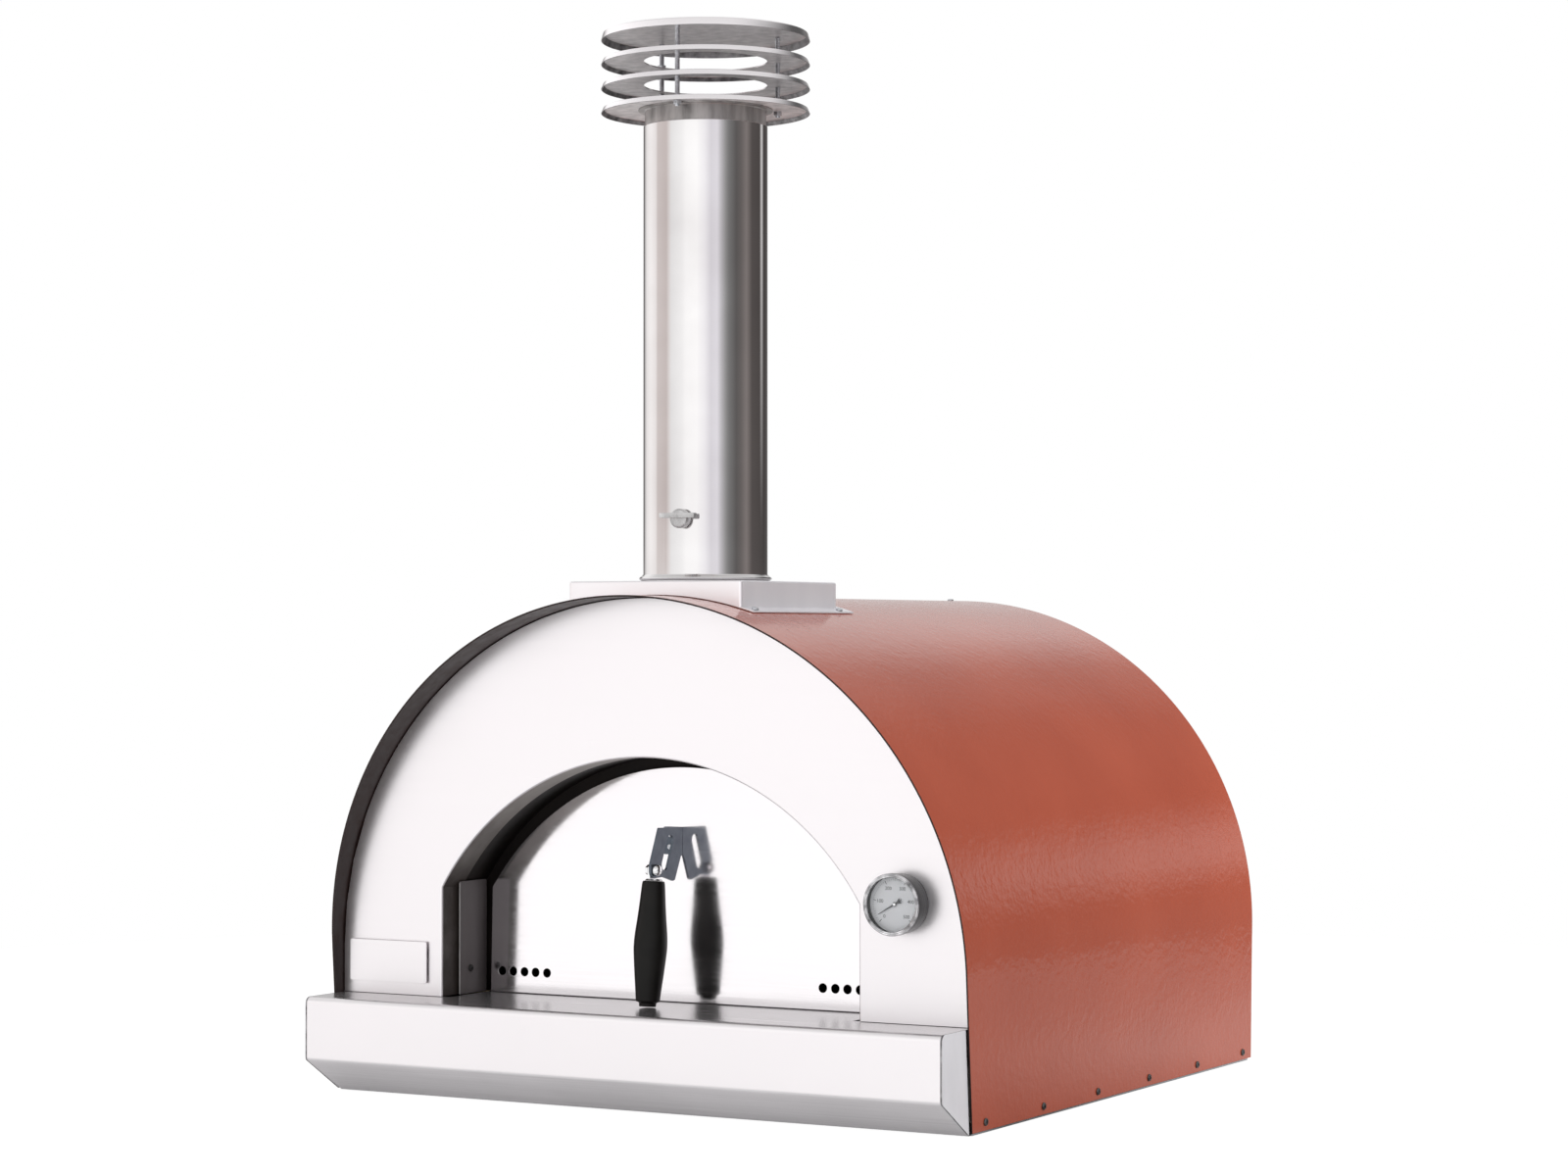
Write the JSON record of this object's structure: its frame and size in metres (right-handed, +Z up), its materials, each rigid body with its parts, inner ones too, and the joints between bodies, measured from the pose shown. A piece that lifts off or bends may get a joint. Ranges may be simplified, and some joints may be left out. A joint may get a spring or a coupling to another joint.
{
  "type": "wood fired pizza oven",
  "caption": "Domed wood fired pizza oven with an insulated vault, front ledge, lift-off door with a hanging grip, dial thermometer, and a flue pipe with damper and ringed rain cap.",
  "frame": {"origin": "centre of the footprint box, on the plane the base rests on", "axes": "+Z up along the flue, -Y out through the oven's mouth, +X to the right as seen from the front"},
  "size_m": [0.869, 0.9142, 1.2805],
  "materials": {
    "painted_vault": "gloss",
    "stainless": "satin",
    "polished_steel": "polished",
    "dark_steel": "matte",
    "zinc_steel": "satin",
    "ceramic_wool": "matte",
    "fireclay": "matte",
    "grip_black": "satin",
    "dial_white": "satin",
    "needle_black": "satin",
    "dial_glass": "polished"
  },
  "bodies": {
    "oven": {"outer_vault": "painted_vault", "rear_panel": "painted_vault", "facade_plate": "stainless", "front_ledge": "stainless", "ledge_end_cap_left": "stainless", "ledge_end_cap_right": "stainless", "base_pan": "zinc_steel", "shell_rail_left": "zinc_steel", "shell_rail_right": "zinc_steel", "ridge_screw": "zinc_steel", "name_plate": "polished_steel", "mouth_liner": "dark_steel", "jamb_plate_left": "stainless", "jamb_plate_right": "stainless", "jamb_screw_left": "zinc_steel", "jamb_screw_right": "zinc_steel", "inner_dome": "dark_steel", "chamber_front_wall": "dark_steel", "chamber_rear_wall": "dark_steel", "dome_insulation": "ceramic_wool", "front_insulation": "ceramic_wool", "rear_insulation": "ceramic_wool", "floor_insulation": "ceramic_wool", "hearth_tray": "zinc_steel", "hearth_tile_front_left": "fireclay", "hearth_tile_rear_left": "fireclay", "hearth_tile_front_right": "fireclay", "hearth_tile_rear_right": "fireclay", "flue_stub": "stainless", "flue_saddle": "stainless", "saddle_screw_1": "zinc_steel", "saddle_screw_2": "zinc_steel", "saddle_screw_3": "zinc_steel", "saddle_screw_4": "zinc_steel", "flue_collar": "stainless", "flue_pipe": "stainless", "cap_spigot": "stainless", "cap_ring_lower": "stainless", "cap_ring_middle": "stainless", "cap_ring_upper": "stainless", "cap_top_disc": "stainless", "cap_rod_1": "stainless", "cap_rod_2": "stainless", "cap_rod_3": "stainless", "thermometer_case": "dark_steel", "thermometer_bezel": "polished_steel", "thermometer_glass": "dial_glass", "thermometer_dial": "dial_white", "thermometer_stem": "zinc_steel", "thermometer_nut": "zinc_steel"},
    "door": {"door_plate": "polished_steel", "door_bracket": "zinc_steel", "handle_ferrule": "polished_steel", "handle_grip": "grip_black", "handle_bolt": "polished_steel"},
    "damper": {"damper_disc": "stainless", "damper_shaft": "zinc_steel", "damper_handle": "stainless"},
    "pointer": {"thermometer_pointer": "needle_black"}
  },
  "joints": [
    {"name": "door_slide", "type": "slide", "parent": "oven", "child": "door", "axis": [0, -1, 0], "range_m": [0, 0.2]},
    {"name": "damper_turn", "type": "hinge", "parent": "oven", "child": "damper", "pos_m": [0, -0.23512, 0.693], "axis": [0.1736, -0.9848, 0], "range_deg": [0, 90]},
    {"name": "pointer_turn", "type": "hinge", "parent": "oven", "child": "pointer", "pos_m": [0.339, -0.39512, 0.254], "axis": [0, 1, 0], "range_deg": [0, 270], "stiffness_Nm_per_rad": 0.002}
  ]
}
